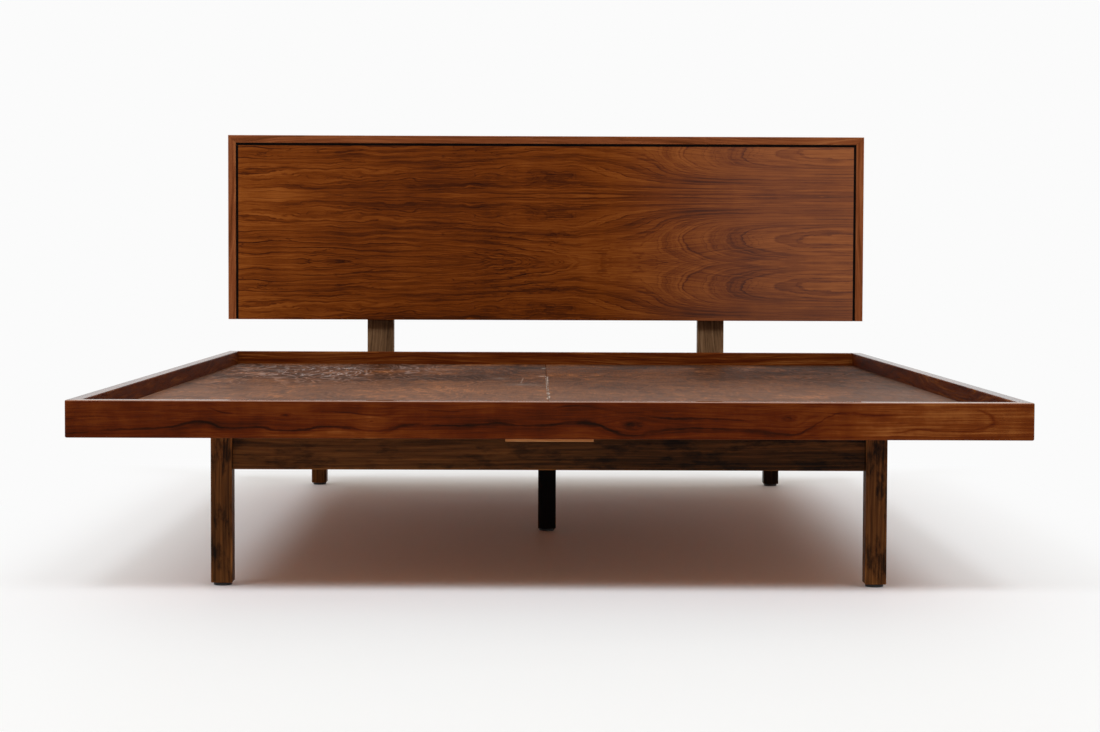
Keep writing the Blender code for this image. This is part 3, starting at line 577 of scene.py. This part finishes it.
def deck_veneer(name, seed, rear_shade, dust_and_sheen, aside=0.0, scuffs_and_glints=False):
    """A deck panel: worn rotary-cut veneer on top, plies at the edges and red-brown plywood underneath.

    rear_shade is how much painted shade darkens the tone towards the rear, aside how much the tone falls
    towards the side, and dust_and_sheen how much dust and painted sheen lie at the front. scuffs_and_glints
    adds the marks and the painted glints in the rear corner of the left panel.
    """
    g = Graph(name)
    x, y, z = g.position()
    field = g.noise(x * 4.8 + seed, y * 2.4, 0.0, detail=3.0, rough=0.45)
    small = g.noise(x * 28.0, y * 11.0 + seed, 1.0, detail=3.0) - 0.5
    r = field + small * 0.055
    figured = g.step(g.noise(x * 1.8 + seed, y * 1.4, 15.0, detail=2.0), 0.40, 0.58)
    ripple = g.noise(x * 15.0 + seed, y * 4.6, 7.0, detail=2.0, twist=0.8)
    trough = lines(g, ripple + RIPPLE_SPACING / 2, RIPPLE_SPACING, RIPPLE_WIDTH)
    crest_figure_and_glint = lines(g, ripple, RIPPLE_SPACING, RIPPLE_WIDTH) - trough * 0.5
    # painted highlight: the corner of the left panel where the ripple crests are painted as glints
    corner_x, half_width, start, full = DECK_GLINT_CORNER
    corner = g.bell(x - corner_x, half_width) * g.step(y, start, full)
    band = g.noise(r * 30.0, y * 0.5, seed, detail=4.0, rough=0.6)
    fibre = g.noise(x * 105.0 + r * 25.0, y * 6.0, seed, detail=3.0, rough=0.62)
    grit = g.noise(x * 310.0, y * 14.0, seed + 3.0, detail=2.0, rough=0.6)
    pores = g.noise(x * 700.0, y * 45.0, seed, detail=1.0)
    pore = g.step(pores, 0.58, 0.72)
    cloud = g.noise(x * 3.0, y * 2.2 + seed, 5.0, detail=4.0, rough=0.58)
    orange = g.step(g.noise(x * 6.5 + seed, y * 3.6, 9.0, detail=4.0, rough=0.6), 0.54, 0.68)
    # painted shade: the deck's tone falls towards the rear, by the headboard; the dust and painted sheen at
    # the front thin out the same way
    rear = g.step(y, *DECK_REAR)
    value = 0.68 + (fibre - 0.5) * 0.85 + (cloud - 0.5) * 1.3 + (band - 0.5) * 1.4
    value = value - pore * 0.10 + orange * 0.28 - rear * rear_shade
    # the ripple crests are lighter: grain figure, and in the left panel's rear corner painted glints too
    value = value + crest_figure_and_glint * (figured * 0.13 + corner * 0.17) + (grit - 0.5) * 0.75
    value = value - g.step(abs(x), -0.10, 0.70) * aside
    chip = g.noise(x * 60.0, y * 16.0 + seed, 2.0, detail=5.0, rough=0.7)
    spot_y, half_depth = SEAM_SPOT
    worn = g.step(y, *SEAM_WORN_REAR) * g.step(y, *SEAM_WORN_FRONT) + g.bell(y - spot_y, half_depth)
    seam = g.step(abs(x) + (chip - 0.52) * 0.018 + (1.0 - worn) * 0.010, 0.0018, 0.0007)
    scuff = glint = 0.0
    if scuffs_and_glints:
        # painted highlight: glints on the ripple crests in that corner, mixed into the colour
        glint = corner * lines(g, ripple, RIPPLE_SPACING, RIPPLE_WIDTH)
        scuff = g.bell(off_line(g, x, y, *DECK_SCRATCH), 0.0011) * g.step(chip, 0.34, 0.52) * 0.6
        scored = g.step(g.noise(x * 16.0 + 2.0, y * 105.0 - x * 12.0, 3.0, detail=2.0), 0.46, 0.60)
        for at_x, at_y, wide, deep in DECK_SCUFFS:
            scuff = scuff + g.bell(x - at_x, wide) * g.bell(y - at_y, deep) * scored * 0.7
        for at_x, at_y, wide, deep in DECK_CHIPS:
            scuff = scuff + g.bell(x - at_x, wide) * g.bell(y - at_y, deep)
    colour = g.ramp(value, DECK_STOPS)
    # dust and painted sheen: pale grey-beige laid over the front of the deck, partly dust and partly the
    # glare that the front catches
    front_dust_and_sheen = (1.0 - rear) * (0.16 + cloud * 0.30) * dust_and_sheen
    colour = g.mix(front_dust_and_sheen, colour, DUST_AND_SHEEN_COLOUR)
    # pale chips and scratches, and a little pale colour for the painted glints
    colour = g.mix(g.low(seam * 0.75 + scuff * 0.5 + glint * 0.08, 1.0), colour, CHIP_AND_GLINT_COLOUR)
    inside = g.step(z, *PLY_BAND)
    layer = g.step(g.math("PINGPONG", (z - DECK_UNDER) * (1.0 / PLY), 1.0), 0.35, 0.65)
    ply = g.ramp(0.45 + (fibre - 0.5) * 0.5 + (cloud - 0.5) * 0.3 + layer * 0.25, RAW_STOPS)
    colour = g.mix(inside, colour, ply)
    gloss = 0.58 + (fibre - 0.5) * 0.20 - (band - 0.5) * 0.3
    gloss = gloss + seam * 0.3 + inside * 0.2 - glint * 0.38
    height = r * 6.0 + ripple * 1.7 + fibre * 0.35 - pore * 0.5 - seam * 0.8
    return g.finish(colour, gloss, height, 0.0010, specular=0.03)


def nylon():
    """Moulded black nylon with a fine spark texture and scuffs."""
    g = Graph("black_nylon")
    x, y, z = g.position()
    grit = g.noise(x * 900.0, y * 900.0, z * 900.0, detail=2.0)
    scuff = g.step(g.noise(x * 120.0, y * 120.0, z * 260.0, detail=3.0), 0.55, 0.75)
    colour = g.ramp(grit * 0.5 + scuff * 0.5, NYLON_STOPS)
    gloss = 0.46 + grit * 0.14 + scuff * 0.12
    return g.finish(colour, gloss, grit + scuff * 0.3, 0.00015, specular=0.4)


def zinc():
    """Zinc-plated steel with a mottled plating."""
    g = Graph("zinc_steel")
    x, y, z = g.position()
    patch = g.noise(x * 210.0, y * 210.0, z * 210.0, detail=4.0, rough=0.6)
    turned = g.noise(x * 700.0, y * 90.0, z * 700.0, detail=2.0)
    colour = g.ramp(patch * 0.7 + turned * 0.3, ZINC_STOPS)
    return g.finish(colour, 0.28 + patch * 0.18, turned, 0.00006, metallic=1.0)


def dress(node, material):
    """Puts a material on a CAD node."""
    item = frame["nodes"][node]
    if not item.material_slots:
        item.data.materials.append(material)
    for holder in item.material_slots:
        holder.material = material


def dress_tray():
    """The four rails and the two deck panels."""
    dress("foot_rail", foot_rail_wood())
    left = deck_veneer("deck_veneer_left", seed=2.0, rear_shade=0.32, dust_and_sheen=1.1, scuffs_and_glints=True)
    right = deck_veneer("deck_veneer_right", seed=13.0, rear_shade=0.19, dust_and_sheen=1.20, aside=0.26)
    dress("deck_panel_left", left)
    dress("deck_panel_right", right)
    rail = {"stops": RAIL_STOPS, "ring": 0.0085, "wear": 0.10, "rough": 0.52, "specular": 0.04}
    pieces = (
        ("head_rail", "walnut_head_rail", "X", 3.1,
         dict(rail, tone=0.24, contrast=1.0, polish=0.07, pith=(0.06, -0.08))),
        ("left_side_rail", "walnut_left_rail", "Y", 5.7, dict(rail, tone=0.17, contrast=1.3, polish=0.13)),
        ("right_side_rail", "walnut_right_rail", "Y", 8.3, dict(rail, tone=0.02, contrast=1.3, polish=0.11)),
    )
    for node, name, along, seed, look in pieces:
        dress(node, wood(name, node, along, seed=seed, **look))


def dress_headboard():
    """The panel, the strips round it and the posts."""
    dress("headboard_panel", panel_veneer())
    strip = {"stops": STRIP_STOPS, "ring": 0.006, "wear": 0.16, "rough": 0.40, "specular": 0.05}
    strips = (("top", "X", 1.4, 0.0), ("left", "Z", 4.4, 0.05), ("right", "Z", 6.9, 0.0))
    for side, along, seed, tone in strips:
        node = "headboard_frame_" + side
        dress(node, wood("walnut_strip_" + side, node, along, seed=seed, tone=tone, contrast=0.8, **strip))
    post = {"stops": POST_STOPS, "ring": 0.006, "blotch": 0.10, "wear": 0.15}
    for node, seed in (("headboard_post_left", 7.7), ("headboard_post_right", 11.8)):
        dress(node, wood("stained_" + node, node, "Z", seed=seed, **post))


def dress_base():
    """The legs, the stretchers and the centre beam, stained dark; the rear right leg and the centre leg
    darker still, as painted shade.
    """
    stain = {"ring": 0.0052, "wear": 0.22, "rough": 0.46, "specular": 0.05}
    leg = dict(stain, stops=STAIN_STOPS, blotch=0.42, wave=0.5, contrast=0.95, stripe=0.55)
    front = dict(stain, stops=STAIN_STOPS, blotch=0.24, wave=0.3, contrast=0.75, stripe=0.7)
    inner = dict(stain, stops=STAIN_STOPS, blotch=0.2, wave=0.4)
    pieces = (
        ("front_left_leg", "Z", 2.3, dict(leg, tone=0.05)),
        ("front_right_leg", "Z", 6.0, dict(leg, tone=0.01)),
        ("rear_left_leg", "Z", 9.7, dict(leg, tone=0.05)),
        # painted shade: the rear right leg is coloured darker and the centre leg near black, as the shade
        # under the bed falls on them
        ("rear_right_leg", "Z", 14.1, dict(stain, stops=PAINTED_SHADE_DARK_STOPS)),
        ("centre_leg", "Z", 16.6, dict(stain, stops=PAINTED_SHADE_BLACK_STOPS)),
        ("front_stretcher", "X", 3.9, dict(front, tone=-0.13, slope=-0.36)),
        ("rear_stretcher", "X", 6.8, inner),
        ("left_stretcher", "Y", 9.7, inner),
        ("right_stretcher", "Y", 12.6, inner),
        ("centre_beam", "Y", 15.5, inner),
    )
    for node, along, seed, look in pieces:
        dress(node, wood("espresso_" + node, node, along, seed=seed, **look))


def dress_raw():
    """The unfinished timber under the deck and in the mitres. A piece's place in the frame gives its seed."""
    dress("front_cleat", wood("raw_front_cleat", "front_cleat", "X", CLEAT_STOPS, 2.9, ring=0.005, rough=0.6))
    raw = {"stops": CLEAT_STOPS, "ring": 0.0046, "wear": 0.08, "rough": 0.62, "specular": 0.2}
    for i, node in enumerate(frame["nodes"]):
        if node.startswith("mitre_tongue"):
            along = "Z"
        elif node.endswith(("_ledger", "_bearer")) or node.startswith("cross_bearer"):
            low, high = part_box(node)
            along = "X" if high[0] - low[0] > high[1] - low[1] else "Y"
        else:
            continue
        seed = RAW_SEED + i * RAW_SEED_STEP
        dress(node, wood("raw_" + node, node, along, seed=seed, contrast=0.7, **raw))


def dress_hardware():
    """Nylon glides, and steel bolts, nuts and screws."""
    black = nylon()
    steel = zinc()
    for node in frame["nodes"]:
        if node.endswith("_glide"):
            dress(node, black)
        elif node.startswith(("post_bolt", "post_nut", "panel_screw")):
            dress(node, steel)


def make_camera():
    """The camera where the fit to the photograph puts it."""
    roll = Matrix.Rotation(CAMERA_ROLL, 3, "Y")
    pitch = Matrix.Rotation(CAMERA_PITCH, 3, "X")
    yaw = Matrix.Rotation(-CAMERA_YAW, 3, "Z")
    turn = roll @ pitch @ yaw
    right, forward, up = turn[0], turn[1], turn[2]
    data = bpy.data.cameras.new("photo_camera")
    data.sensor_fit = "HORIZONTAL"
    data.sensor_width = SENSOR
    data.lens = SENSOR * FOCAL_PIXELS / PHOTO_WIDTH
    data.clip_end = CAMERA_REACH
    camera = bpy.data.objects.new("photo_camera", data)
    axes = Matrix((right, up, -forward)).transposed()
    camera.matrix_world = Matrix.Translation(CAMERA_AT) @ axes.to_4x4()
    bpy.context.scene.collection.objects.link(camera)
    bpy.context.scene.camera = camera


def sees_backdrop(tree):
    """1 for the rays that show the backdrop: camera, glossy and transmission."""
    rays = tree.nodes.new("ShaderNodeLightPath")
    total = rays.outputs["Is Camera Ray"]
    for name in ("Is Glossy Ray", "Is Transmission Ray"):
        joined = tree.nodes.new("ShaderNodeMath")
        joined.operation = "MAXIMUM"
        tree.links.new(total, joined.inputs[0])
        tree.links.new(rays.outputs[name], joined.inputs[1])
        total = joined.outputs[0]
    return total


def make_world():
    """A pale surround: a lit white wall behind the bed and a dimmer, warmer room behind the camera."""
    world = bpy.data.worlds.new("studio")
    world.use_nodes = True
    tree = world.node_tree
    tree.nodes.clear()
    direction = tree.nodes.new("ShaderNodeTexCoord")
    split = tree.nodes.new("ShaderNodeSeparateXYZ")
    tree.links.new(direction.outputs["Generated"], split.inputs[0])
    towards_wall = tree.nodes.new("ShaderNodeMapRange")
    towards_wall.inputs["From Min"].default_value = -1.0
    tree.links.new(split.outputs["Y"], towards_wall.inputs["Value"])
    ambient = tree.nodes.new("ShaderNodeMapRange")
    ambient.inputs["To Min"].default_value = AMBIENT_FRONT
    ambient.inputs["To Max"].default_value = AMBIENT_BACK
    tree.links.new(towards_wall.outputs[0], ambient.inputs["Value"])
    wall = tree.nodes.new("ShaderNodeMapRange")
    wall.interpolation_type = "SMOOTHSTEP"
    wall.inputs["From Min"].default_value = WALL_SPAN[0]
    wall.inputs["From Max"].default_value = WALL_SPAN[1]
    wall.inputs["To Max"].default_value = WALL_LIGHT
    tree.links.new(split.outputs["Y"], wall.inputs["Value"])
    around = tree.nodes.new("ShaderNodeMath")
    tree.links.new(ambient.outputs[0], around.inputs[0])
    tree.links.new(wall.outputs[0], around.inputs[1])
    seen = sees_backdrop(tree)
    level = tree.nodes.new("ShaderNodeMapRange")
    level.inputs["To Max"].default_value = BACKDROP
    tree.links.new(around.outputs[0], level.inputs["To Min"])
    tree.links.new(seen, level.inputs["Value"])
    warmth = tree.nodes.new("ShaderNodeMix")
    warmth.data_type = "RGBA"
    warmth.inputs[6].default_value = ROOM_COLOUR
    warmth.inputs[7].default_value = WALL_COLOUR
    tree.links.new(towards_wall.outputs[0], warmth.inputs[0])
    tint = tree.nodes.new("ShaderNodeMix")
    tint.data_type = "RGBA"
    tint.inputs[7].default_value = WHITE
    tree.links.new(warmth.outputs[2], tint.inputs[6])
    tree.links.new(seen, tint.inputs[0])
    surround = tree.nodes.new("ShaderNodeBackground")
    tree.links.new(tint.outputs[2], surround.inputs["Color"])
    tree.links.new(level.outputs[0], surround.inputs["Strength"])
    output = tree.nodes.new("ShaderNodeOutputWorld")
    tree.links.new(surround.outputs[0], output.inputs[0])
    bpy.context.scene.world = world


def make_floor():
    """A pale floor that takes the shadow and fades into the backdrop away from the bed; behind and beside the
    bed the glow starts under it and paints light over part of its shadow.
    """
    mesh = bpy.data.meshes.new("studio_floor")
    shape = bmesh.new()
    bmesh.ops.create_circle(shape, cap_ends=True, segments=FLOOR_SIDES, radius=FLOOR_RADIUS)
    shape.to_mesh(mesh)
    shape.free()
    floor = bpy.data.objects.new("studio_floor", mesh)
    floor.location.z = -FLOOR_SINK
    bpy.context.scene.collection.objects.link(floor)
    g = Graph("studio_floor")
    x, y, _ = g.position()
    reach = g.math("SQRT", x * x + y * y)
    # painted light: behind and beside the bed the floor glows for camera rays from under the bed outwards,
    # lifting its shadow
    floor_glow = g.high(g.step(reach, *FLOOR_FADE), g.step(y, *FLOOR_GLOW_BEHIND))
    floor_glow = g.high(floor_glow, g.step(abs(x), *FLOOR_GLOW_ASIDE))
    fade = floor_glow * Wire(g, sees_backdrop(g.material.node_tree))
    mottle = g.noise(x * 2.0, y * 9.0, 0.0, detail=3.0)
    paint = g.nodes.new("ShaderNodeBsdfPrincipled")
    paint.inputs["Base Color"].default_value = FLOOR_COLOUR
    g.put(paint.inputs["Roughness"], FLOOR_ROUGHNESS + mottle * FLOOR_MOTTLE)
    paint.inputs["Specular IOR Level"].default_value = FLOOR_SPECULAR
    glow = g.nodes.new("ShaderNodeEmission")
    glow.inputs["Color"].default_value = WHITE
    glow.inputs["Strength"].default_value = BACKDROP
    blend = g.nodes.new("ShaderNodeMixShader")
    g.put(blend.inputs[0], fade)
    g.links.new(paint.outputs[0], blend.inputs[1])
    g.links.new(glow.outputs[0], blend.inputs[2])
    output = g.nodes.new("ShaderNodeOutputMaterial")
    g.links.new(blend.outputs[0], output.inputs[0])
    mesh.materials.append(g.material)


def make_lights():
    """Soft lamps above the foot end: one on the left, one on the right and a weaker one in the middle."""
    for name, towards, strength, spread in LAMPS:
        data = bpy.data.lights.new(name, "SUN")
        data.energy = strength
        data.color = LAMP_COLOUR
        data.angle = math.radians(spread)
        lamp = bpy.data.objects.new(name, data)
        lamp.rotation_euler = Vector(towards).to_track_quat("Z", "Y").to_euler()
        bpy.context.scene.collection.objects.link(lamp)


make_camera()
make_world()
make_floor()
make_lights()
dress_tray()
dress_headboard()
dress_base()
dress_raw()
dress_hardware()

bpy.context.scene.view_settings.view_transform = "Standard"
